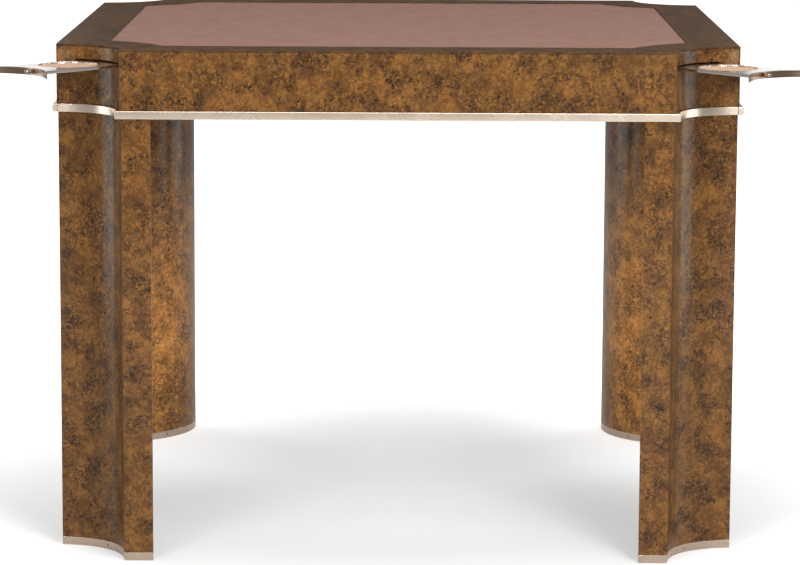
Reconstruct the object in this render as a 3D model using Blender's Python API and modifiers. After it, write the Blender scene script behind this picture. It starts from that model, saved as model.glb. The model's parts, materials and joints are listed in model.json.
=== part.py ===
"""Square gaming table with scooped corners and a pull-out drink tray in each corner.

Metres, +Z up, floor at z = 0. The origin is the bottom centre of the whole table with its
two front trays pulled out, so the table's own centre stands a little behind it (TABLE_Y).

Each corner is designed once, in a corner frame: its origin is the outer corner of the
square that bounds the table top, +X and +Y run inwards along the two edges. The four
corners are that frame turned by 0, 90, 180 and 270 degrees about +Z.
"""
import math

import bmesh
import bpy
from mathutils import Matrix, Vector

# ---- Driving dimensions -------------------------------------------------------------
TOP_SIZE = 1.016            # side of the square top
TABLE_HEIGHT = 0.762
SCOOP_R = 0.102             # concave quarter circle that takes each corner off
GAP = 0.0003                # between pieces that touch

APRON_THICK = 0.022
APRON_BOTTOM = 0.6735
APRON_LAP = 0.002           # thin end of a straight board over the concave board's end
REBATE_DEPTH = 0.003        # the top panel's edge over the apron boards
PANEL_THICK = 0.014
BORDER = 0.075              # veneered border round the playing surface
RECESS_DEPTH = 0.0027
LEATHER_THICK = 0.0012

BAND_HEIGHT = 0.012         # metal band under the apron
BAND_PROUD = 0.006
BAND_DEPTH = 0.020
BAND_OVERRUN = 0.007        # straight bars run on past the edge of the scoop
BAND_LAP = 0.002            # under the apron's face, where they pass the curved strips

LEG_R_IN = 0.104            # concave face of a leg
LEG_R_OUT = 0.147           # convex face of a leg
LEG_INSET = 0.002           # end faces behind the apron's faces
LEG_BOTTOM = 0.002

FERRULE_HEIGHT = 0.012
FERRULE_CLEAR = 0.0005      # under the ferrule's lower edge
FERRULE_THICK = 0.0012
PAD_INSET = 0.0015          # foot pad inside the leg's let-in foot

BLOCK_HEIGHT = 0.0285       # corner block that the leg's bolt passes through
BLOCK_REACH = 0.175         # along the diagonal, from the bounding corner
BOLT_PLACE_R = 0.136        # from the bounding corner, on the diagonal
BOLT_R = 0.005
BOLT_LENGTH = 0.090
BOLT_CLEAR = 0.0003

TRAY_FALL = math.radians(0.5)   # the runners fall this much outwards
TRAY_TRAVEL = 0.134
TRAY_Z = 0.7385             # top of the tray plate where it passes the scoop's face
PLATE_HALF = 0.049
PLATE_THICK = 0.005
PLATE_LENGTH = 0.190
TAIL_HALF = 0.0520          # wider than the slot, so the tail stops the tray
TAIL_CLEAR = 0.0006         # from the back of the concave board, pulled out
CUP_R = 0.0435              # round recess for a glass
CUP_DEPTH = 0.0032
CUP_X = 0.068               # recess centre behind the scoop's face
LINING_THICK = 0.001
SLOT_HALF = 0.0500
SLOT_ABOVE = 0.0018
SLOT_BELOW = 0.0006
FRONT_HEIGHT = 0.010
FRONT_THICK = 0.002
FRONT_HALF_ANGLE = math.radians(40)
KNOB_R = 0.004

RUNNER_HALF_IN = 0.0445
RUNNER_HALF_OUT = 0.060
RUNNER_BOTTOM = 0.728
RUNNER_START = 0.026        # behind the scoop's face
RUNNER_END = 0.200          # where the cross bar closes the pair
RUNNER_BAR = 0.018
RUNNER_CLEAR = 0.0004       # round the plate in its groove

ARC_STEPS = 16              # per quarter circle
RING_STEPS = 48             # round the glass recess

# ---- Derived places -----------------------------------------------------------------
HALF = TOP_SIZE / 2
BAND_TOP = APRON_BOTTOM - GAP
BAND_BOTTOM = BAND_TOP - BAND_HEIGHT
LEG_TOP = BAND_BOTTOM - GAP
PANEL_BOTTOM = TABLE_HEIGHT - PANEL_THICK
APRON_TOP = TABLE_HEIGHT - REBATE_DEPTH - GAP
BLOCK_BOTTOM = LEG_TOP + GAP
BLOCK_TOP = BLOCK_BOTTOM + BLOCK_HEIGHT
BOLT_BOTTOM = BLOCK_TOP - BOLT_LENGTH
RAIL_HALF = HALF - SCOOP_R
APRON_R_OUT = SCOOP_R + APRON_THICK
FRONT_R = SCOOP_R - 0.0006      # back of a closed tray front, just clear of the scoop
DIAGONAL = math.sqrt(0.5)

# Furthest forward is the near end of a pulled-out tray front, furthest back the band.
FRONT_END_S = (FRONT_R - FRONT_THICK) * math.cos(FRONT_HALF_ANGLE)
FRONT_END_B = (FRONT_R - FRONT_THICK) * math.sin(FRONT_HALF_ANGLE)
PULLED_S = SCOOP_R + (FRONT_END_S - SCOOP_R - TRAY_TRAVEL) * math.cos(TRAY_FALL)
FRONT_EXTENT = HALF - (PULLED_S - FRONT_END_B) * DIAGONAL
BACK_EXTENT = HALF + BAND_PROUD
TABLE_Y = (FRONT_EXTENT - BACK_EXTENT) / 2

CORNERS = {"front_left": 0, "front_right": 1, "back_right": 2, "back_left": 3}
SIDES = {"front": 0, "right": 1, "back": 2, "left": 3}
PULLED_OUT = ("front_left", "front_right")

MATERIALS = {
    "burl_lacquer": ((0.30, 0.14, 0.045), 0.32, 0.0),
    "top_lacquer": ((0.12, 0.065, 0.032), 0.30, 0.0),
    "playing_leather": ((0.31, 0.175, 0.145), 0.60, 0.0),
    "champagne_metal": ((0.78, 0.60, 0.45), 0.28, 1.0),
    "bronze_metal": ((0.55, 0.40, 0.28), 0.25, 1.0),
    "polished_metal": ((0.85, 0.83, 0.80), 0.08, 1.0),
    "tan_leather": ((0.75, 0.52, 0.33), 0.60, 0.0),
    "steel": ((0.55, 0.56, 0.58), 0.35, 1.0),
    "nylon": ((0.08, 0.075, 0.07), 0.60, 0.0),
    "plain_wood": ((0.45, 0.28, 0.14), 0.60, 0.0),
}


# ---- Scene --------------------------------------------------------------------------
def clear_scene():
    for obj in list(bpy.data.objects):
        bpy.data.objects.remove(obj, do_unlink=True)


def new_collection(name):
    collection = bpy.data.collections.new(name)
    bpy.context.scene.collection.children.link(collection)
    return collection


def make_material(name):
    colour, roughness, metallic = MATERIALS[name]
    material = bpy.data.materials.new(name)
    material.use_nodes = True
    shader = material.node_tree.nodes["Principled BSDF"]
    shader.inputs["Base Color"].default_value = (*colour, 1.0)
    shader.inputs["Roughness"].default_value = roughness
    shader.inputs["Metallic"].default_value = metallic
    return material


def make_empty(name, parent=None, location=(0, 0, 0), rotation=(0, 0, 0)):
    empty = bpy.data.objects.new(name, None)
    empty.empty_display_size = 0.05
    empty.parent = parent
    empty.location = location
    empty.rotation_euler = rotation
    GUIDES.objects.link(empty)
    return empty


def add_part(name, mesh, material, parent):
    """A named piece of the table: its own object, on a mesh it may share."""
    obj = bpy.data.objects.new(name, mesh)
    obj.parent = parent
    PARTS.objects.link(obj)
    if not mesh.materials:
        mesh.materials.append(MATERIAL[material])
    return obj


def add_corner_parts(name, mesh, material):
    """The same piece at all four corners."""
    return [add_part(f"{name}_{corner}", mesh, material, CORNER[corner]) for corner in CORNERS]


# ---- Outlines -----------------------------------------------------------------------
def arc(centre, radius, start, end, steps=ARC_STEPS):
    """Points from angle start to angle end, both included."""
    angles = [start + (end - start) * i / steps for i in range(steps + 1)]
    return [(centre[0] + radius * math.cos(a), centre[1] + radius * math.sin(a)) for a in angles]


def table_outline(inset):
    """The scooped square, a constant distance inside the table's edge."""
    points = []
    radius = SCOOP_R + inset
    overlap = math.asin(inset / radius)
    for quarter in range(4):
        turn = math.radians(90 * quarter)
        corner = Matrix.Rotation(turn, 2) @ Vector((-HALF, -HALF))
        start = turn + math.radians(90) - overlap
        points += arc(corner, radius, start, turn + overlap)
    return points


def corner_outline(r_in, r_out, edge):
    """Quarter ring about the bounding corner, its two ends an edge distance inside."""
    inner = math.asin(edge / r_in)
    outer = math.asin(edge / r_out)
    right = math.radians(90)
    points = arc((0, 0), r_in, inner, right - inner)
    points += arc((0, 0), r_out, right - outer, outer)
    return points


def prism(outlines, bottom, top):
    """A closed solid on a flat outline; a second outline inside the first is a hole."""
    curve = bpy.data.curves.new("outline", "CURVE")
    curve.dimensions = "2D"
    curve.fill_mode = "BOTH"
    curve.extrude = (top - bottom) / 2
    for outline in outlines:
        spline = curve.splines.new("POLY")
        spline.points.add(len(outline) - 1)
        for point, (x, y) in zip(spline.points, outline):
            point.co = (x, y, 0, 1)
        spline.use_cyclic_u = True
    source = bpy.data.objects.new("outline", curve)
    bpy.context.scene.collection.objects.link(source)
    evaluated = source.evaluated_get(bpy.context.evaluated_depsgraph_get())
    mesh = bpy.data.meshes.new_from_object(evaluated)
    bpy.data.objects.remove(source)
    bm = bmesh.new()
    bm.from_mesh(mesh)
    bmesh.ops.remove_doubles(bm, verts=bm.verts, dist=1e-6)
    bmesh.ops.translate(bm, verts=bm.verts, vec=(0, 0, (top + bottom) / 2))
    bmesh.ops.recalc_face_normals(bm, faces=bm.faces)
    bm.to_mesh(mesh)
    bm.free()
    return mesh


def block(low, high):
    """A box between two corners."""
    size = [b - a for a, b in zip(low, high)]
    centre = [(a + b) / 2 for a, b in zip(low, high)]
    bm = bmesh.new()
    bmesh.ops.create_cube(bm, size=1.0)
    bmesh.ops.scale(bm, verts=bm.verts, vec=size)
    bmesh.ops.translate(bm, verts=bm.verts, vec=centre)
    return finish_mesh(bm)


def rod(radius, bottom, top, place=(0, 0), segments=24):
    """An upright cylinder."""
    bm = bmesh.new()
    bmesh.ops.create_cone(bm, cap_ends=True, segments=segments, radius1=radius,
                          radius2=radius, depth=top - bottom)
    bmesh.ops.translate(bm, verts=bm.verts, vec=(place[0], place[1], (top + bottom) / 2))
    return finish_mesh(bm)


def turned(profile, steps=24):
    """A closed turned piece about +Z from a profile that runs from top to bottom."""
    mesh = bpy.data.meshes.new("turned")
    edges = [(i, i + 1) for i in range(len(profile) - 1)]
    mesh.from_pydata([(r, 0, z) for r, z in profile], edges, [])
    source = bpy.data.objects.new("turned", mesh)
    bpy.context.scene.collection.objects.link(source)
    screw = source.modifiers.new("turn", "SCREW")
    screw.steps = steps
    screw.render_steps = steps
    screw.use_merge_vertices = True
    screw.merge_threshold = 1e-5
    evaluated = source.evaluated_get(bpy.context.evaluated_depsgraph_get())
    result = bpy.data.meshes.new_from_object(evaluated)
    bpy.data.objects.remove(source)
    bpy.data.meshes.remove(mesh)
    bm = bmesh.new()
    bm.from_mesh(result)
    bmesh.ops.remove_doubles(bm, verts=bm.verts, dist=1e-6)
    bmesh.ops.recalc_face_normals(bm, faces=bm.faces)
    bm.to_mesh(result)
    bm.free()
    return result


def finish_mesh(bm):
    bmesh.ops.recalc_face_normals(bm, faces=bm.faces)
    mesh = bpy.data.meshes.new("solid")
    bm.to_mesh(mesh)
    bm.free()
    return mesh


def moved(mesh, matrix):
    """A copy of a mesh, turned and moved."""
    copy = mesh.copy()
    copy.transform(matrix)
    return copy


def combined(mesh, other, operation):
    """The EXACT Boolean of two meshes, kept as a mesh; the cutter stays as a guide."""
    body = bpy.data.objects.new("body", mesh)
    tool = bpy.data.objects.new("cutter", other)
    tool.hide_render = True
    tool.display_type = "WIRE"
    bpy.context.scene.collection.objects.link(body)
    CUTTERS.objects.link(tool)
    boolean = body.modifiers.new("shape", "BOOLEAN")
    boolean.operation = operation
    boolean.solver = "EXACT"
    boolean.object = tool
    evaluated = body.evaluated_get(bpy.context.evaluated_depsgraph_get())
    result = bpy.data.meshes.new_from_object(evaluated)
    result.materials.clear()
    bpy.data.objects.remove(body)
    return result


def cut(mesh, *cutters):
    for cutter in cutters:
        mesh = combined(mesh, cutter, "DIFFERENCE")
    return mesh


def joined(mesh, *others):
    for other in others:
        mesh = combined(mesh, other, "UNION")
    return mesh


def smooth(mesh, angle=30):
    mesh.shade_smooth()
    mesh.set_sharp_from_angle(angle=math.radians(angle))
    return mesh


# ---- Places that repeat -------------------------------------------------------------
def on_diagonal(distance):
    """A point on the corner's diagonal, this far from the bounding corner."""
    return (distance * DIAGONAL, distance * DIAGONAL)


def diagonal_matrix(x=0.0, y=0.0, z=0.0):
    """Tray directions in the corner frame, level: +X inwards from the scoop's face."""
    return (Matrix.Rotation(math.radians(45), 4, "Z")
            @ Matrix.Translation((SCOOP_R + x, y, z)))


def slide_matrix():
    """The slide's own frame in the corner frame: along the fall of the runners."""
    return diagonal_matrix(z=TRAY_Z) @ Matrix.Rotation(-TRAY_FALL, 4, "Y")


# ---- Table --------------------------------------------------------------------------
def make_top_panel():
    """Veneered panel: a thin edge over the apron boards, its body dropped inside them."""
    edge = prism([table_outline(0)], TABLE_HEIGHT - REBATE_DEPTH, TABLE_HEIGHT)
    body = prism([table_outline(APRON_THICK + GAP)], PANEL_BOTTOM, TABLE_HEIGHT - REBATE_DEPTH / 2)
    recess = prism([table_outline(BORDER)], TABLE_HEIGHT - RECESS_DEPTH, TABLE_HEIGHT + 0.01)
    mesh = cut(joined(edge, body), recess)
    add_part("top_panel", smooth(mesh), "top_lacquer", TABLE)


def make_playing_leather():
    floor = TABLE_HEIGHT - RECESS_DEPTH
    mesh = prism([table_outline(BORDER + GAP)], floor + GAP, floor + GAP + LEATHER_THICK)
    add_part("playing_leather", smooth(mesh), "playing_leather", TABLE)


def end_notches(lap, bottom, top):
    """Room at both ends of a straight piece for the curved ones behind it."""
    inner = HALF - APRON_R_OUT - GAP
    outer = HALF
    return [block((min(side * inner, side * outer), -HALF + lap, bottom - 0.01),
                  (max(side * inner, side * outer), -HALF + 0.1, top + 0.01))
            for side in (-1, 1)]


def make_apron_rails():
    """Straight boards; each end laps over the concave board and carries on its curve."""
    reach = RAIL_HALF + APRON_THICK
    board = block((-reach, -HALF, APRON_BOTTOM), (reach, -HALF + APRON_THICK, APRON_TOP))
    hollows = [rod(SCOOP_R, APRON_BOTTOM - 0.01, APRON_TOP + 0.01, (side * HALF, -HALF),
                   4 * ARC_STEPS) for side in (-1, 1)]
    notches = end_notches(APRON_LAP, APRON_BOTTOM, APRON_TOP)
    mesh = smooth(cut(board, *hollows, *notches))
    for side in SIDES:
        add_part(f"apron_rail_{side}", mesh, "burl_lacquer", SIDE[side])


def make_corner_aprons():
    """Concave boards between the rails, each with the slot that its tray slides through."""
    mesh = prism([corner_outline(SCOOP_R, APRON_R_OUT, APRON_LAP + GAP)],
                 APRON_BOTTOM, APRON_TOP)
    slot = block((-0.05, -SLOT_HALF, -PLATE_THICK - SLOT_BELOW), (0.05, SLOT_HALF, SLOT_ABOVE))
    mesh = cut(mesh, moved(slot, slide_matrix()))
    add_corner_parts("corner_apron", smooth(mesh), "burl_lacquer")


def make_bands():
    """Metal band: a straight bar under each rail and a curved strip under each scoop."""
    reach = RAIL_HALF + BAND_OVERRUN
    round_r = 0.0012
    bar = block((-reach, -HALF - BAND_PROUD, BAND_BOTTOM),
                (reach, -HALF - BAND_PROUD + BAND_DEPTH, BAND_TOP))
    bar = cut(bevelled(bar, round_r), *end_notches(BAND_LAP, BAND_BOTTOM, BAND_TOP))
    smooth(bar, 40)
    for side in SIDES:
        add_part(f"band_{side}", bar, "champagne_metal", SIDE[side])
    strip = prism([corner_outline(SCOOP_R - BAND_PROUD, APRON_R_OUT, BAND_LAP + GAP)],
                  BAND_BOTTOM, BAND_TOP)
    add_corner_parts("band_corner", smooth(strip), "champagne_metal")


def bevelled(mesh, width):
    """The mesh with all its sharp edges rounded."""
    bm = bmesh.new()
    bm.from_mesh(mesh)
    bmesh.ops.bevel(bm, geom=bm.edges[:], offset=width, segments=2, profile=0.5,
                    affect="EDGES", clamp_overlap=True)
    bm.to_mesh(mesh)
    bm.free()
    return smooth(mesh, 40)


def make_legs():
    """Quarter-ring legs; the foot is let in all round for its ferrule."""
    shaft = prism([corner_outline(LEG_R_IN, LEG_R_OUT, LEG_INSET)],
                  FERRULE_CLEAR + FERRULE_HEIGHT + GAP, LEG_TOP)
    let_in = FERRULE_THICK + GAP
    foot = prism([corner_outline(LEG_R_IN + let_in, LEG_R_OUT - let_in, LEG_INSET + let_in)],
                 LEG_BOTTOM, FERRULE_HEIGHT + 0.01)
    hole = rod(BOLT_R + BOLT_CLEAR, BOLT_BOTTOM - GAP, LEG_TOP + 0.01,
               on_diagonal(BOLT_PLACE_R), 16)
    add_corner_parts("leg", smooth(cut(joined(shaft, foot), hole)), "burl_lacquer")


def make_ferrules():
    """Metal strip round each foot, flush with the leg."""
    outer = corner_outline(LEG_R_IN, LEG_R_OUT, LEG_INSET)
    inner = corner_outline(LEG_R_IN + FERRULE_THICK, LEG_R_OUT - FERRULE_THICK,
                           LEG_INSET + FERRULE_THICK)
    mesh = prism([outer, inner], FERRULE_CLEAR, FERRULE_CLEAR + FERRULE_HEIGHT)
    add_corner_parts("foot_ferrule", smooth(mesh), "champagne_metal")


def make_foot_pads():
    """Pads that the table stands on, just inside the ferrules."""
    inset = FERRULE_THICK + GAP + PAD_INSET
    outline = corner_outline(LEG_R_IN + inset, LEG_R_OUT - inset, LEG_INSET + inset)
    mesh = prism([outline], 0, LEG_BOTTOM - GAP)
    add_corner_parts("foot_pad", smooth(mesh), "nylon")


def make_corner_blocks():
    """Blocks behind the concave boards: the legs are bolted up against them."""
    edge = APRON_THICK + GAP
    r_in = APRON_R_OUT + GAP
    start = math.asin(edge / r_in)
    points = arc((0, 0), r_in, start, math.radians(90) - start)
    side = BLOCK_REACH / DIAGONAL - edge
    points += [(edge, side), (side, edge)]
    body = prism([points], BLOCK_BOTTOM, BLOCK_TOP)
    hole = rod(BOLT_R + BOLT_CLEAR, BLOCK_BOTTOM - 0.01, BLOCK_TOP + 0.01,
               on_diagonal(BOLT_PLACE_R), 16)
    add_corner_parts("corner_block", smooth(cut(body, hole)), "plain_wood")


def make_leg_bolts():
    """Hexagon-headed bolt with its washer, down through the block into the leg."""
    place = on_diagonal(BOLT_PLACE_R)
    washer = rod(0.0105, BLOCK_TOP + GAP, BLOCK_TOP + 0.0023, place, 24)
    head = rod(0.0085, BLOCK_TOP + 0.0020, BLOCK_TOP + 0.0085, place, 6)
    shank = rod(BOLT_R, BOLT_BOTTOM, BLOCK_TOP + 0.0040, place, 16)
    add_corner_parts("leg_bolt", smooth(joined(shank, washer, head)), "steel")


# ---- Trays --------------------------------------------------------------------------
def make_runners():
    """Grooved pair closed by a cross bar, under the top panel: the plate slides in it."""
    frame = block((RUNNER_START, -RUNNER_HALF_OUT, RUNNER_BOTTOM),
                  (RUNNER_END + RUNNER_BAR, RUNNER_HALF_OUT, PANEL_BOTTOM - GAP))
    middle = block((0, -RUNNER_HALF_IN, RUNNER_BOTTOM - 0.01),
                   (RUNNER_END, RUNNER_HALF_IN, PANEL_BOTTOM + 0.01))
    groove = block((-0.05, -TAIL_HALF - RUNNER_CLEAR, -PLATE_THICK - RUNNER_CLEAR),
                   (RUNNER_END - 0.005, TAIL_HALF + RUNNER_CLEAR, RUNNER_CLEAR))
    mesh = cut(moved(frame, diagonal_matrix()), moved(middle, diagonal_matrix()),
               moved(groove, slide_matrix()))
    add_corner_parts("tray_runners", smooth(mesh), "plain_wood")


def plate_mesh():
    """Flat plate: curved front edge, round recess for a glass, and a wider tail as a stop."""
    front = math.asin(PLATE_HALF / (FRONT_R + GAP))
    outline = arc((-SCOOP_R, 0), FRONT_R + GAP, front, -front, ARC_STEPS)
    board_back = math.sqrt(APRON_R_OUT ** 2 - PLATE_HALF ** 2) - SCOOP_R
    shoulder = board_back + TRAY_TRAVEL + TAIL_CLEAR
    corner = 0.005
    right = math.radians(90)
    back = PLATE_LENGTH - corner
    outline += [(shoulder, -PLATE_HALF), (shoulder, -TAIL_HALF)]
    outline += arc((back, -TAIL_HALF + corner), corner, -right, 0, 6)
    outline += arc((back, TAIL_HALF - corner), corner, 0, right, 6)
    outline += [(shoulder, TAIL_HALF), (shoulder, PLATE_HALF)]
    plate = prism([outline], -PLATE_THICK, 0)
    recess = rod(CUP_R, -CUP_DEPTH, 0.01, (CUP_X, 0), RING_STEPS)
    return smooth(cut(plate, recess))


def front_mesh():
    """Curved strip on the same arc as the scoop, with a hole for the knob's rivet."""
    steps = ARC_STEPS + 8
    outer = arc((-SCOOP_R, 0), FRONT_R, -FRONT_HALF_ANGLE, FRONT_HALF_ANGLE, steps)
    inner = arc((-SCOOP_R, 0), FRONT_R - FRONT_THICK, FRONT_HALF_ANGLE, -FRONT_HALF_ANGLE, steps)
    strip = prism([outer + inner], -FRONT_HEIGHT, 0)
    hole = moved(rod(0.0013, -0.01, 0.01, segments=12), knob_matrix())
    return smooth(cut(strip, hole))


def knob_matrix():
    """Knob direction: +Z points out of the tray front, from the middle of its face."""
    face = -SCOOP_R + FRONT_R - FRONT_THICK
    return (Matrix.Translation((face, 0, -FRONT_HEIGHT / 2))
            @ Matrix.Rotation(math.radians(-90), 4, "Y"))


def knob_mesh():
    """Ball on a short neck and collar, with the rivet that holds it to the tray front."""
    neck_r = 0.0017
    ball_z = 0.0062
    start = math.asin(neck_r / KNOB_R)
    ball = [(KNOB_R * math.sin(a), ball_z + KNOB_R * math.cos(a))
            for a in [(math.pi - start) * i / 8 for i in range(9)]]
    ball[0] = (0, ball_z + KNOB_R)
    stem = [(neck_r, 0.0014), (0.0026, 0.0011), (0.0026, GAP), (0.0010, GAP),
            (0.0010, 0.0001 - FRONT_THICK), (0, 0.0001 - FRONT_THICK)]
    return smooth(moved(turned(ball + stem, 16), knob_matrix()), 40)


def make_trays():
    """Four drink trays; each one's empty rides the runners and carries its pieces."""
    plate = plate_mesh()
    lining = smooth(rod(CUP_R - GAP, -CUP_DEPTH + GAP, -CUP_DEPTH + GAP + LINING_THICK,
                        (CUP_X, 0), RING_STEPS))
    front = front_mesh()
    knob = knob_mesh()
    for corner in CORNERS:
        slide = make_empty(f"slide_{corner}", CORNER[corner])
        slide.matrix_local = slide_matrix()
        shift = -TRAY_TRAVEL if corner in PULLED_OUT else 0.0
        tray = make_empty(f"tray_{corner}", slide, (shift, 0, 0))
        add_part(f"tray_plate_{corner}", plate, "polished_metal", tray)
        add_part(f"tray_lining_{corner}", lining, "tan_leather", tray)
        add_part(f"tray_front_{corner}", front, "bronze_metal", tray)
        add_part(f"tray_knob_{corner}", knob, "bronze_metal", tray)


# ---- Build --------------------------------------------------------------------------
clear_scene()
PARTS = new_collection("gaming_table")
GUIDES = new_collection("gaming_table_axes")
CUTTERS = new_collection("gaming_table_cutters")
MATERIAL = {name: make_material(name) for name in MATERIALS}
TABLE = make_empty("table_centre", location=(0, TABLE_Y, 0))
SIDE = {side: make_empty(f"side_{side}", TABLE, rotation=(0, 0, math.radians(90 * turn)))
        for side, turn in SIDES.items()}
CORNER = {}
for corner_name, turn in CORNERS.items():
    pivot = make_empty(f"turn_{corner_name}", TABLE, rotation=(0, 0, math.radians(90 * turn)))
    CORNER[corner_name] = make_empty(f"corner_{corner_name}", pivot, (-HALF, -HALF, 0))

make_top_panel()
make_playing_leather()
make_apron_rails()
make_corner_aprons()
make_bands()
make_legs()
make_ferrules()
make_foot_pads()
make_corner_blocks()
make_leg_bolts()
make_runners()
make_trays()
bpy.context.view_layer.update()
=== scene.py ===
"""Looks of a square gaming table: burl veneer under lacquer, a leather playing surface,
champagne metal trim, and a drink tray that slides out of each scooped corner.

Metres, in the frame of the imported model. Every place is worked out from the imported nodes.
"""

import json
import math

import bmesh
import bpy
from mathutils import Matrix, Vector


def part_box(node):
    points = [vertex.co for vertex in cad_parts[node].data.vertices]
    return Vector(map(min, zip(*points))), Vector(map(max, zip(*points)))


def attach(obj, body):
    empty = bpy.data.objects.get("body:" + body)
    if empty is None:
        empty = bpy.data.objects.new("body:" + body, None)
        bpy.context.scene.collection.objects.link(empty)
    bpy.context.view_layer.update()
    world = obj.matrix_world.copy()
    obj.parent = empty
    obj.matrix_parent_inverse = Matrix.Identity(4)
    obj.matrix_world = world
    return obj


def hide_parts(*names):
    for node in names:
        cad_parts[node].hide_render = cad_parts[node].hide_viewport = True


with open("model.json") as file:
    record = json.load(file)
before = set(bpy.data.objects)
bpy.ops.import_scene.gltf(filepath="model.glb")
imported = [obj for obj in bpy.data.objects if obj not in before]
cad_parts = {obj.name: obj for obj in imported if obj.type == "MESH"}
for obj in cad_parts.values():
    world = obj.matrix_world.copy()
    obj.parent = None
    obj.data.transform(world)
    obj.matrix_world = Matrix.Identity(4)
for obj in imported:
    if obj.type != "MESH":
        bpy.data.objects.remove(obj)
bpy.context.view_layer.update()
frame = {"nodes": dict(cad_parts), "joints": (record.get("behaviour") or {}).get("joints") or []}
NODES = frame["nodes"]
CORNERS = {"front_left": (-1, -1), "front_right": (1, -1),
           "back_right": (1, 1), "back_left": (-1, 1)}
SIDES = ("front", "right", "back", "left")

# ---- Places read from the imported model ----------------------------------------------
TOP_LOW, TOP_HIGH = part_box("top_panel")
TABLE = (TOP_LOW + TOP_HIGH) / 2
HALF = (TOP_HIGH.x - TOP_LOW.x) / 2


def corner_point(corner):
    """The bounding corner of the square top, which every scoop and leg is drawn about."""
    side_x, side_y = CORNERS[corner]
    return Vector((side_x * HALF, TABLE.y + side_y * HALF))


def reach_from_corner(node, corner):
    """Least and greatest plan distance of a node's points from its bounding corner."""
    centre = corner_point(corner)
    reach = [(vertex.co.xy - centre).length for vertex in NODES[node].data.vertices]
    return min(reach), max(reach)


SCOOP_R = reach_from_corner("corner_apron_front_left", "front_left")[0]
LEG_R = reach_from_corner("foot_ferrule_front_left", "front_left")


# ---- Shader nodes -------------------------------------------------------------------
class Graph:
    """One material's nodes; each call adds a node and returns its output."""

    def __init__(self, name):
        self.material = bpy.data.materials.new(name)
        self.material.use_nodes = True
        self.tree = self.material.node_tree
        self.shader = self.tree.nodes["Principled BSDF"]
        self.place = self.add("ShaderNodeTexCoord").outputs["Object"]

    def add(self, kind, inputs=(), **settings):
        node = self.tree.nodes.new(kind)
        for key, value in settings.items():
            setattr(node, key, value)
        for key, value in dict(inputs).items():
            self.feed(node.inputs[key], value)
        return node

    def feed(self, socket, value):
        if isinstance(value, bpy.types.NodeSocket):
            self.tree.links.new(value, socket)
        else:
            socket.default_value = value

    def set(self, **inputs):
        """Shader inputs by name, with underscores for spaces."""
        for key, value in inputs.items():
            self.feed(self.shader.inputs[key.replace("_", " ")], value)

    def stretched(self, scale, place=None):
        node = self.add("ShaderNodeMapping", {"Vector": place or self.place, "Scale": scale})
        return node.outputs["Vector"]

    def noise(self, scale, detail=3.0, roughness=0.6, place=None, distortion=0.0):
        node = self.add("ShaderNodeTexNoise", {
            "Vector": place or self.place, "Scale": scale, "Detail": detail,
            "Roughness": roughness, "Distortion": distortion})
        return node.outputs["Fac"]

    def warped(self, scale, reach, place=None):
        """The place pushed about by a noise, by up to about reach metres."""
        source = place or self.place
        noise = self.add("ShaderNodeTexNoise", {"Vector": source, "Scale": scale, "Detail": 2.0})
        centred = self.add("ShaderNodeVectorMath", {0: noise.outputs["Color"], 1: (0.5,) * 3},
                           operation="SUBTRACT").outputs[0]
        push = self.add("ShaderNodeVectorMath", {0: centred, "Scale": 2 * reach},
                        operation="SCALE").outputs[0]
        return self.add("ShaderNodeVectorMath", {0: source, 1: push},
                        operation="ADD").outputs[0]

    def cell_edge(self, scale, place):
        """Distance to the nearest edge between cells."""
        node = self.add("ShaderNodeTexVoronoi", {"Vector": place, "Scale": scale},
                        feature="DISTANCE_TO_EDGE")
        return node.outputs["Distance"]

    def math(self, operation, first, second=0.0, clamp=False):
        node = self.add("ShaderNodeMath", {0: first, 1: second}, operation=operation,
                        use_clamp=clamp)
        return node.outputs[0]

    def spread(self, value, low, high, to_low=0.0, to_high=1.0):
        """A value between low and high, spread smoothly over a new range."""
        node = self.add("ShaderNodeMapRange", {
            "Value": value, "From Min": low, "From Max": high,
            "To Min": to_low, "To Max": to_high}, interpolation_type="SMOOTHSTEP")
        return node.outputs["Result"]

    def ramp(self, value, stops):
        node = self.add("ShaderNodeValToRGB", {"Fac": value})
        ramp = node.color_ramp
        while len(ramp.elements) < len(stops):
            ramp.elements.new(1.0)
        for element, (position, colour) in zip(ramp.elements, stops):
            element.position = position
            element.color = (*colour, 1.0)
        return node.outputs["Color"]

    def mix(self, factor, first, second, blend="MIX"):
        node = self.add("ShaderNodeMix", data_type="RGBA", blend_type=blend)
        for key, value in ((0, factor), (6, first), (7, second)):
            value = (*value, 1.0) if isinstance(value, tuple) else value
            self.feed(node.inputs[key], value)
        return node.outputs[2]

    def bump(self, height, distance, strength):
        inputs = {"Height": height, "Distance": distance, "Strength": strength}
        return self.add("ShaderNodeBump", inputs).outputs["Normal"]


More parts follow.
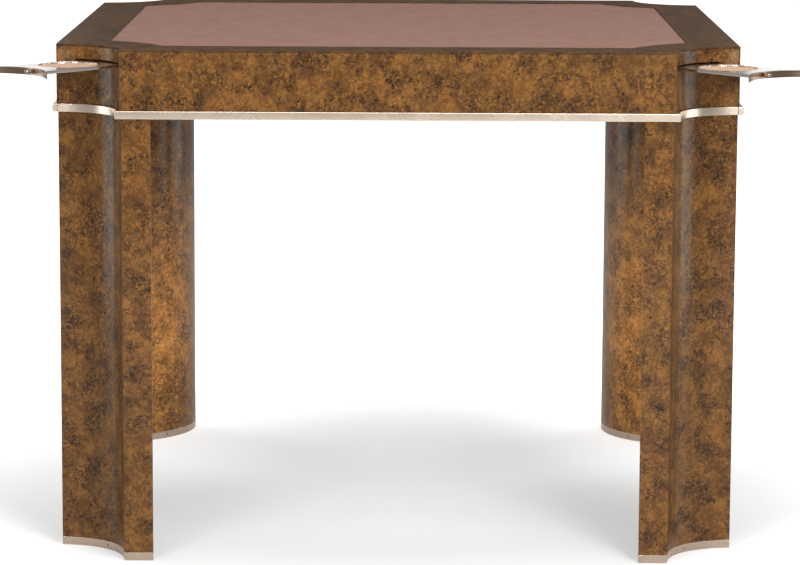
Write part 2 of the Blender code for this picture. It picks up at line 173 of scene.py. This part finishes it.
# ---- Materials ----------------------------------------------------------------------
def burl(name, gold, brown, dark, roughness, specular, coat):
    """Burl veneer: clouded ground, curling dark veins in clusters, specks, and fine figure."""
    g = Graph(name)
    near = g.warped(55.0, 0.007)
    far = g.warped(150.0, 0.003, near)
    cloud = g.noise(34.0, 4.0, 0.6, near)
    mottle = g.noise(135.0, 5.0, 0.7, far)
    ground = g.math("ADD", g.math("MULTIPLY", cloud, 0.5), g.math("MULTIPLY", mottle, 0.5))
    middle = tuple(0.5 * (a + b) for a, b in zip(gold, brown))
    colour = g.ramp(g.spread(ground, 0.38, 0.61), [(0.0, brown), (0.5, middle), (1.0, gold)])

    cell_edge = g.cell_edge(125.0, far)
    patchy = g.spread(g.noise(48.0, 3.0, 0.6, near), 0.40, 0.58, 0.15, 0.75)
    colour = g.mix(g.math("MULTIPLY", g.spread(cell_edge, 0.24, 0.02), patchy), colour, brown)

    cluster = g.spread(g.noise(30.0, 4.0, 0.65, near), 0.43, 0.60)
    line = g.math("ABSOLUTE", g.math("SUBTRACT", g.noise(105.0, 5.0, 0.68, far, 0.8), 0.5))
    broken = g.spread(g.noise(240.0, 3.0, 0.6, far), 0.42, 0.54)
    vein = g.math("MULTIPLY", g.spread(line, 0.065, 0.004), broken)
    speck = g.spread(g.noise(290.0, 4.0, 0.72, far), 0.52, 0.58)
    smoke = g.spread(g.noise(100.0, 5.0, 0.75, far), 0.47, 0.64)
    marks = g.math("MAXIMUM", g.math("MULTIPLY", vein, 0.95), g.math("MULTIPLY", smoke, 0.60))
    marks = g.math("MULTIPLY", marks, cluster)
    sparse = g.math("ADD", g.math("MULTIPLY", cluster, 0.80), 0.14)
    marks = g.math("MAXIMUM", marks, g.math("MULTIPLY", speck, sparse), clamp=True)
    colour = g.mix(marks, colour, dark)

    fine = g.noise(560.0, 3.0, 0.75)
    colour = g.mix(1.0, colour, g.ramp(fine, [(0.28, (0.60,) * 3), (0.72, (1.38,) * 3)]),
                   "MULTIPLY")
    g.set(Base_Color=colour,
          Roughness=g.spread(mottle, 0.3, 0.7, roughness - 0.04, roughness + 0.06),
          IOR=1.46, Specular_IOR_Level=specular,
          Coat_Weight=coat, Coat_Roughness=0.16, Coat_IOR=1.45,
          Normal=g.bump(g.noise(900.0, 2.0, 0.6), 0.00003, 0.6),
          Coat_Normal=g.bump(g.noise(30.0, 2.0, 0.5), 0.0003, 0.25))
    return g.material


def leather(name, base, deep, pale, roughness, pebble, sheen):
    """Grained leather: pebbles between fine creases, the creases darkened as painted shade, over
    slow changes of colour.
    """
    g = Graph(name)
    place = g.warped(160.0, 0.0012)
    crease = g.cell_edge(pebble, place)
    tone = g.noise(48.0, 4.0, 0.6)
    grain = g.noise(230.0, 4.0, 0.65)
    colour = g.ramp(g.spread(tone, 0.1, 0.9), [(0.0, deep), (0.5, base), (1.0, pale)])
    colour = g.mix(g.spread(grain, 0.35, 0.7, 0.0, 0.45), colour, deep)
    # Painted shade: the creases darkened towards the deep colour.
    colour = g.mix(g.spread(crease, 0.10, 0.0, 0.0, 0.45), colour, deep)
    height = g.math("ADD", g.spread(crease, 0.0, 0.22), g.math("MULTIPLY", grain, 0.5))
    g.set(Base_Color=colour, Roughness=g.spread(grain, 0.3, 0.7, roughness, roughness + 0.12),
          IOR=1.45, Specular_IOR_Level=0.12,
          Sheen_Weight=sheen, Sheen_Roughness=0.5, Sheen_Tint=(1.0, 0.93, 0.9, 1.0),
          Normal=g.bump(height, 0.00012, 0.8))
    return g.material


def metal(name, colour, dull, roughness, brush, wear):
    """Brushed or polished metal, its grain running level round the table."""
    g = Graph(name)
    stroke = g.noise(1.0, 3.0, 0.6, g.stretched((14.0, 14.0, brush)))
    cloud = g.noise(28.0, 4.0, 0.6)
    tone = g.math("ADD", g.math("MULTIPLY", stroke, 0.6), g.math("MULTIPLY", cloud, 0.4))
    g.set(Base_Color=g.ramp(g.spread(tone, 0.35, 0.65), [(0.0, dull), (1.0, colour)]),
          Metallic=1.0,
          Roughness=g.spread(cloud, 0.3, 0.7, roughness, roughness + wear),
          Normal=g.bump(stroke, 0.00001, 0.4))
    return g.material


def hardwood(name, pale, deep):
    """Unfinished hardwood for what is out of sight, its grain level."""
    g = Graph(name)
    grain = g.noise(1.0, 6.0, 0.65, g.stretched((22.0, 22.0, 420.0), g.warped(9.0, 0.004)))
    pore = g.noise(1.0, 3.0, 0.7, g.stretched((60.0, 60.0, 1400.0)))
    colour = g.ramp(g.spread(grain, 0.3, 0.7), [(0.0, deep), (1.0, pale)])
    colour = g.mix(g.spread(pore, 0.52, 0.66, 0.0, 0.5), colour, deep)
    g.set(Base_Color=colour, Roughness=g.spread(grain, 0.3, 0.7, 0.55, 0.7),
          Normal=g.bump(g.math("ADD", grain, pore), 0.0001, 0.5))
    return g.material


def nylon(name, colour):
    g = Graph(name)
    grit = g.noise(700.0, 3.0, 0.7)
    pale = tuple(1.6 * c for c in colour)
    g.set(Base_Color=g.ramp(grit, [(0.35, colour), (0.7, pale)]),
          Roughness=g.spread(grit, 0.3, 0.7, 0.5, 0.68), Normal=g.bump(grit, 0.00008, 0.5))
    return g.material


MATERIALS = {
    "burl_lacquer": burl("burl_lacquer", (0.226, 0.098, 0.021), (0.090, 0.038, 0.010),
                         (0.007, 0.005, 0.004), 0.34, 0.08, 0.50),
    "top_lacquer": burl("top_lacquer", (0.130, 0.063, 0.023), (0.068, 0.033, 0.013),
                        (0.015, 0.010, 0.008), 0.38, 0.05, 0.04),
    "playing_leather": leather("playing_leather", (0.285, 0.150, 0.114), (0.215, 0.106, 0.078),
                               (0.325, 0.183, 0.146), 0.55, 620.0, 0.02),
    "tan_leather": leather("tan_leather", (0.570, 0.360, 0.210), (0.490, 0.295, 0.165),
                           (0.620, 0.410, 0.255), 0.50, 900.0, 0.10),
    "champagne_metal": metal("champagne_metal", (0.670, 0.535, 0.430), (0.600, 0.470, 0.365),
                             0.22, 1100.0, 0.06),
    # A lighter copy of champagne_metal for the bands, the same metal: its extra brightness is
    # painted light.
    "band_metal_painted_lighter": metal("band_metal_painted_lighter", (0.900, 0.750, 0.605), (0.865, 0.715, 0.570),
                        0.25, 1100.0, 0.03),
    "bronze_metal": metal("bronze_metal", (0.410, 0.290, 0.215), (0.290, 0.200, 0.145),
                          0.22, 1300.0, 0.06),
    "polished_metal": metal("polished_metal", (0.860, 0.790, 0.750), (0.780, 0.700, 0.650),
                            0.15, 1500.0, 0.04),
    "steel": metal("steel", (0.560, 0.570, 0.590), (0.440, 0.450, 0.460), 0.30, 900.0, 0.12),
    "foot_pad": nylon("foot_pad", (0.020, 0.019, 0.018)),
    "plain_wood": hardwood("plain_wood", (0.430, 0.270, 0.140), (0.260, 0.145, 0.068)),
}


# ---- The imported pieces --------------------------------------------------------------
WELD_GAP = 1e-5
FLAT_ANGLE = math.radians(0.6)      # facets of one flat face turn less than this
SHARP_ANGLE = math.radians(32)      # edges sharper than this are eased


def dress(node, slot, edge=0.0, look=None):
    """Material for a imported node, its facets welded into faces and its sharp edges eased.

    The look is the slot's own unless another of the materials is named.
    """
    obj = NODES[node]
    mesh = obj.data
    mesh.materials.clear()
    mesh.materials.append(MATERIALS[look or slot])
    split_normals = mesh.attributes.get("custom_normal")
    if split_normals:
        mesh.attributes.remove(split_normals)
    mesh.polygons.foreach_set("use_smooth", [True] * len(mesh.polygons))
    weld = obj.modifiers.new("weld", "WELD")
    weld.merge_threshold = WELD_GAP
    faces = obj.modifiers.new("faces", "DECIMATE")
    faces.decimate_type = "DISSOLVE"
    faces.angle_limit = FLAT_ANGLE
    if edge:
        bevel = obj.modifiers.new("eased_edges", "BEVEL")
        bevel.width = edge
        bevel.segments = 2
        bevel.limit_method = "ANGLE"
        bevel.angle_limit = SHARP_ANGLE
        bevel.harden_normals = False
    normals = obj.modifiers.new("normals", "WEIGHTED_NORMAL")
    normals.keep_sharp = True


def dress_corners(kind, slot, edge=0.0, look=None):
    for corner in CORNERS:
        dress(f"{kind}_{corner}", slot, edge, look)


dress("top_panel", "top_lacquer", 0.0007)
for side in SIDES:
    dress(f"apron_rail_{side}", "burl_lacquer", 0.0005)
    # The bands take the lighter copy of their slot's metal, its extra brightness painted light.
    dress(f"band_{side}", "champagne_metal", 0.0003, look="band_metal_painted_lighter")
dress_corners("corner_apron", "burl_lacquer", 0.0003)
dress_corners("leg", "burl_lacquer", 0.0010)
# The band corners take the same lighter copy, its extra brightness painted light.
dress_corners("band_corner", "champagne_metal", 0.0004, look="band_metal_painted_lighter")
dress_corners("foot_ferrule", "champagne_metal", 0.0004)
dress_corners("foot_pad", "foot_pad", 0.0004)
dress_corners("corner_block", "plain_wood", 0.0008)
dress_corners("leg_bolt", "steel", 0.0003)
dress_corners("tray_runners", "plain_wood", 0.0006)
dress_corners("tray_plate", "polished_metal", 0.0006)
dress_corners("tray_front", "bronze_metal", 0.0004)
dress_corners("tray_knob", "bronze_metal")


# ---- Pieces made here ---------------------------------------------------------------
def new_piece(name, bm, material, body, smooth_angle=40):
    mesh = bpy.data.meshes.new(name)
    bmesh.ops.recalc_face_normals(bm, faces=bm.faces)
    bm.to_mesh(mesh)
    bm.free()
    mesh.shade_smooth()
    mesh.set_sharp_from_angle(angle=math.radians(smooth_angle))
    mesh.materials.append(MATERIALS[material])
    piece = bpy.data.objects.new(name, mesh)
    bpy.context.scene.collection.objects.link(piece)
    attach(piece, body)
    return piece


def lathe(profile, steps, place):
    """A closed turned form from a profile that starts and ends on the axis."""
    bm = bmesh.new()
    rings = []
    for radius, height in profile:
        if radius < 1e-7:
            rings.append([bm.verts.new(place @ Vector((0, 0, height)))])
            continue
        ring = []
        for step in range(steps):
            turn = 2 * math.pi * step / steps
            point = Vector((radius * math.cos(turn), radius * math.sin(turn), height))
            ring.append(bm.verts.new(place @ point))
        rings.append(ring)
    for upper, lower in zip(rings, rings[1:]):
        for step in range(steps):
            after = (step + 1) % steps
            corners = [upper[step % len(upper)], upper[after % len(upper)],
                       lower[after % len(lower)], lower[step % len(lower)]]
            bm.faces.new(list(dict.fromkeys(corners)))
    return bm


# ---- Playing surface ----------------------------------------------------------------
SKIN_ROLL = 0.0009      # rounded edge of the leather
SKIN_FLAT = 0.0035      # where its flat face starts, in from its edge
SCOOP_STEPS = 24


def scooped_outline(inset, height):
    """The scooped square, an inset inside the table's edge, at a height."""
    radius = SCOOP_R + inset
    overlap = math.asin(inset / radius)
    points = []
    for quarter, corner in enumerate(CORNERS):
        start = math.radians(90 * quarter + 90) - overlap
        end = math.radians(90 * quarter) + overlap
        centre = corner_point(corner)
        for step in range(SCOOP_STEPS + 1):
            turn = start + (end - start) * step / SCOOP_STEPS
            point = centre + radius * Vector((math.cos(turn), math.sin(turn)))
            points.append(Vector((point.x, point.y, height)))
    return points


def make_playing_surface():
    low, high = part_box("playing_leather")
    inset = low.x + HALF
    bm = bmesh.new()
    levels = [(0.0, low.z), (0.0, high.z - SKIN_ROLL)]
    levels += [(SKIN_ROLL * (1 - math.cos(a)), high.z - SKIN_ROLL * (1 - math.sin(a)))
               for a in (math.radians(30), math.radians(60), math.radians(90))]
    levels += [(SKIN_FLAT, high.z)]
    rings = [[bm.verts.new(p) for p in scooped_outline(inset + extra, height)]
             for extra, height in levels]
    for lower, upper in zip(rings, rings[1:]):
        for step in range(len(lower)):
            after = (step + 1) % len(lower)
            bm.faces.new((lower[step], lower[after], upper[after], upper[step]))
    bm.faces.new(rings[-1])
    bm.faces.new(list(reversed(rings[0])))
    piece = new_piece("playing_leather_skin", bm, "playing_leather", "table", 50)
    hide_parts("playing_leather")


# ---- Tray linings -------------------------------------------------------------------
LINING_ROLL = 0.0005    # rounded edge of a lining
LINING_STEPS = 72


def tray_place(corner, node):
    """Frame of a tray: +X along its slide, inwards, +Z square to its plate."""
    joint = next(j for j in frame["joints"] if j["name"] == f"tray_slide_{corner}")
    low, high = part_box(node)
    out = Vector(joint["axis"]).normalized()
    side_x, side_y = CORNERS[corner]
    if out.x * side_x < 0:
        out = -out
    across = Vector((0, 0, 1)).cross(-out).normalized()
    up = (-out).cross(across)
    place = Matrix((-out, across, up)).transposed().to_4x4()
    place.translation = (low + high) / 2
    return place


def make_tray_lining(corner):
    node = f"tray_lining_{corner}"
    place = tray_place(corner, node)
    points = [place.inverted() @ vertex.co for vertex in NODES[node].data.vertices]
    radius = max(point.xy.length for point in points)
    top = max(point.z for point in points)
    roll = LINING_ROLL
    profile = [(0.0, top), (radius * 0.5, top), (radius - 4 * roll, top)]
    profile += [(radius - roll + roll * math.sin(a), top - roll + roll * math.cos(a))
                for a in (0.0, math.radians(30), math.radians(60), math.radians(90))]
    profile += [(radius, -top), (0.0, -top)]
    bm = lathe(profile, LINING_STEPS, place)
    piece = new_piece(f"tray_lining_skin_{corner}", bm, "tan_leather", f"tray_{corner}")
    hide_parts(node)


# ---- Ferrule pins -------------------------------------------------------------------
PIN_R = 0.0021
PIN_DOME = 0.0011       # height of the dome over its rim
PIN_SKIRT = 0.0004      # rim to flat underside
PIN_SINK = 0.0002       # rim below the ferrule's face
PIN_STEPS = 24


def make_ferrule_pin(corner, radius, facing, name):
    """Domed pin head in the middle of a ferrule's curved face.

    Facing is -1 towards the corner and 1 towards the table's middle.
    """
    low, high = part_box(f"foot_ferrule_{corner}")
    inwards = -Vector((*CORNERS[corner], 0)).normalized()
    foot = corner_point(corner).to_3d() + inwards * radius
    foot.z = (low.z + high.z) / 2
    turn = (inwards * facing).to_track_quat("Z", "Y").to_matrix().to_4x4()
    place = Matrix.Translation(foot) @ turn
    profile = [(0.0, PIN_DOME)]
    profile += [(PIN_R * math.sin(a), PIN_DOME * math.cos(a))
                for a in [math.radians(15 * step) for step in range(1, 6)]]
    profile += [(PIN_R, 0.0), (PIN_R, -PIN_SKIRT), (0.0, -PIN_SKIRT)]
    head = lathe(profile, PIN_STEPS, place)
    new_piece(f"ferrule_pin_{name}_{corner}", head, "bronze_metal", "table")


make_playing_surface()
for corner_name in CORNERS:
    make_tray_lining(corner_name)
    make_ferrule_pin(corner_name, LEG_R[0] + PIN_SINK, -1, "outer")
    make_ferrule_pin(corner_name, LEG_R[1] - PIN_SINK, 1, "inner")


# ---- Camera -------------------------------------------------------------------------
CAMERA_FROM_TABLE = Vector((0.0175, -5.4764))
CAMERA_HEIGHT = 1.2074
CAMERA_TURNS = (-0.150, 8.985, 0.27)    # yaw, pitch down and roll, in degrees
LENS = 154.03


def make_camera():
    """Low, frontal, from well back: about 9 degrees down at the table's middle."""
    yaw, pitch, roll = (math.radians(turn) for turn in CAMERA_TURNS)
    ahead = Vector((math.sin(yaw) * math.cos(pitch), math.cos(yaw) * math.cos(pitch),
                    -math.sin(pitch)))
    level = Vector((math.cos(yaw), -math.sin(yaw), 0))
    square = level.cross(ahead)
    right = math.cos(roll) * level + math.sin(roll) * square
    up = -math.sin(roll) * level + math.cos(roll) * square
    data = bpy.data.cameras.new("camera")
    data.lens = LENS
    data.sensor_width = 36.0
    camera = bpy.data.objects.new("camera", data)
    camera.matrix_world = Matrix((right, up, -ahead)).transposed().to_4x4()
    camera.location = (*(TABLE.xy + CAMERA_FROM_TABLE), CAMERA_HEIGHT)
    bpy.context.scene.collection.objects.link(camera)
    bpy.context.scene.camera = camera


# ---- Studio -------------------------------------------------------------------------
FLOOR_HALF = 60.0
FLOOR_GREY = (0.68,) * 3
FLOOR_GREY_MIRRORED = (0.60,) * 3
# The floor glows, for the camera only, so that it is white away from the table. The glow is weak
# under the table, which paints part of the table's shadow there.
FLOOR_GLOW_WITH_PAINTED_SHADOW = (0.10, 1.0)        # under the table's middle, and away from it
GLOW_AND_PAINTED_SHADOW_REACH = (0.35, 1.35)       # distances from the middle for those two
# Painted light: a pool of extra floor glow under the table's back half, lightening the shadow
# there.
PAINTED_BACK_LIGHT = 0.27                # added under the table's back half
PAINTED_BACK_LIGHT_MIDDLE = 0.28         # how far back that is
PAINTED_BACK_LIGHT_REACH = (0.75, 0.05)  # distances from there for none and all of it
WORLD_LOW = (0.06, 0.058, 0.056)
WORLD_HIGH = (0.55, 0.55, 0.55)
WORLD_SEEN = (0.95, 0.95, 0.95)
WHITE = (1.0, 1.0, 1.0)
COOL = (0.86, 0.98, 1.0)


def make_floor():
    bm = bmesh.new()
    bmesh.ops.create_grid(bm, x_segments=8, y_segments=8, size=FLOOR_HALF)
    mesh = bpy.data.meshes.new("floor")
    bm.to_mesh(mesh)
    bm.free()
    g = Graph("floor")
    path = g.add("ShaderNodeLightPath").outputs
    away = g.add("ShaderNodeVectorMath", {0: g.place}, operation="LENGTH").outputs["Value"]
    # Painted shadow: the floor glows less towards the table's middle.
    painted_floor_light = g.spread(away, *GLOW_AND_PAINTED_SHADOW_REACH, *FLOOR_GLOW_WITH_PAINTED_SHADOW)
    # Painted light: a pool of extra glow under the table's back half.
    behind = g.add("ShaderNodeVectorMath", {0: g.place, 1: (0.0, -PAINTED_BACK_LIGHT_MIDDLE, 0.0)},
                   operation="ADD")
    behind = g.add("ShaderNodeVectorMath", {0: behind.outputs[0]}, operation="LENGTH")
    painted_back_pool = g.spread(behind.outputs["Value"], *PAINTED_BACK_LIGHT_REACH, 0.0, PAINTED_BACK_LIGHT)
    painted_floor_light = g.math("ADD", painted_floor_light, painted_back_pool)
    g.set(Base_Color=g.mix(path["Is Glossy Ray"], FLOOR_GREY, FLOOR_GREY_MIRRORED),
          Roughness=0.9, Specular_IOR_Level=0.0, Emission_Color=(*WHITE, 1.0),
          Emission_Strength=g.math("MULTIPLY", path["Is Camera Ray"], painted_floor_light))
    mesh.materials.append(g.material)
    floor = bpy.data.objects.new("floor", mesh)
    bpy.context.scene.collection.objects.link(floor)


def make_light(name, place, target, size, power, colour=WHITE, spread=180):
    """Rectangle of light, unseen itself: power in watts, spread in degrees."""
    data = bpy.data.lights.new(name, "AREA")
    data.shape = "RECTANGLE"
    data.size, data.size_y = size
    data.energy = power
    data.color = colour
    data.spread = math.radians(spread)
    light = bpy.data.objects.new(name, data)
    light.location = place
    direction = Vector(target) - Vector(place)
    light.rotation_euler = direction.to_track_quat("-Z", "Y").to_euler()
    light.visible_camera = False
    bpy.context.scene.collection.objects.link(light)


def make_world():
    """Dim low down and brighter above for reflections, plain and pale where it is seen."""
    world = bpy.data.worlds.new("studio")
    bpy.context.scene.world = world
    world.use_nodes = True
    tree = world.node_tree
    background = tree.nodes["Background"]
    where = tree.nodes.new("ShaderNodeTexCoord")
    split = tree.nodes.new("ShaderNodeSeparateXYZ")
    tree.links.new(where.outputs["Generated"], split.inputs[0])
    ramp = tree.nodes.new("ShaderNodeValToRGB")
    elements = ramp.color_ramp.elements
    elements[0].position = 0.02
    elements[0].color = (*WORLD_LOW, 1.0)
    elements[1].position = 0.75
    elements[1].color = (*WORLD_HIGH, 1.0)
    tree.links.new(split.outputs["Z"], ramp.inputs["Fac"])
    path = tree.nodes.new("ShaderNodeLightPath")
    mix = tree.nodes.new("ShaderNodeMix")
    mix.data_type = "RGBA"
    tree.links.new(path.outputs["Is Camera Ray"], mix.inputs[0])
    tree.links.new(ramp.outputs["Color"], mix.inputs[6])
    mix.inputs[7].default_value = (*WORLD_SEEN, 1.0)
    tree.links.new(mix.outputs[2], background.inputs["Color"])


make_camera()
make_floor()
make_world()
make_light("key", (1.4, -3.6, 1.5), (0, 0, 0.45), (1.0, 0.7), 80)
make_light("fill", (-1.7, -3.6, 1.5), (0, 0, 0.45), (1.0, 0.7), 40)
make_light("front_overhead", (0.3, -2.0, 2.9), (0, 0, 0.5), (3.0, 1.6), 58)
make_light("overhead", (0, 0.9, 3.2), (0, 0.2, 0), (3.4, 3.0), 8)
for side in (-1, 1):
    make_light("side_card", (2.8 * side, 0.9, 0.75), (0, 0.9, 0.70), (2.6, 1.7), 22, COOL)
    make_light("back_fill", (3.3 * side, 2.7, 1.7), (0, 0.3, 0.4), (1.4, 1.0), 30)
    # Small and narrow, on a back leg's lower half, which is bright in the photograph.
    make_light("back_leg_card", (0.10 * side, -0.36, 0.24), (0.42 * side, 0.42, 0.20),
               (0.24, 0.14), 0.9, spread=42)
    # Small, from behind, for the gleam along a front tray's plate.
    make_light("tray_card", (1.1 * side, 3.2, 1.1), (0.6 * side, -0.5, 0.8), (0.45, 0.5), 0.8)
bpy.context.scene.view_settings.view_transform = "Standard"
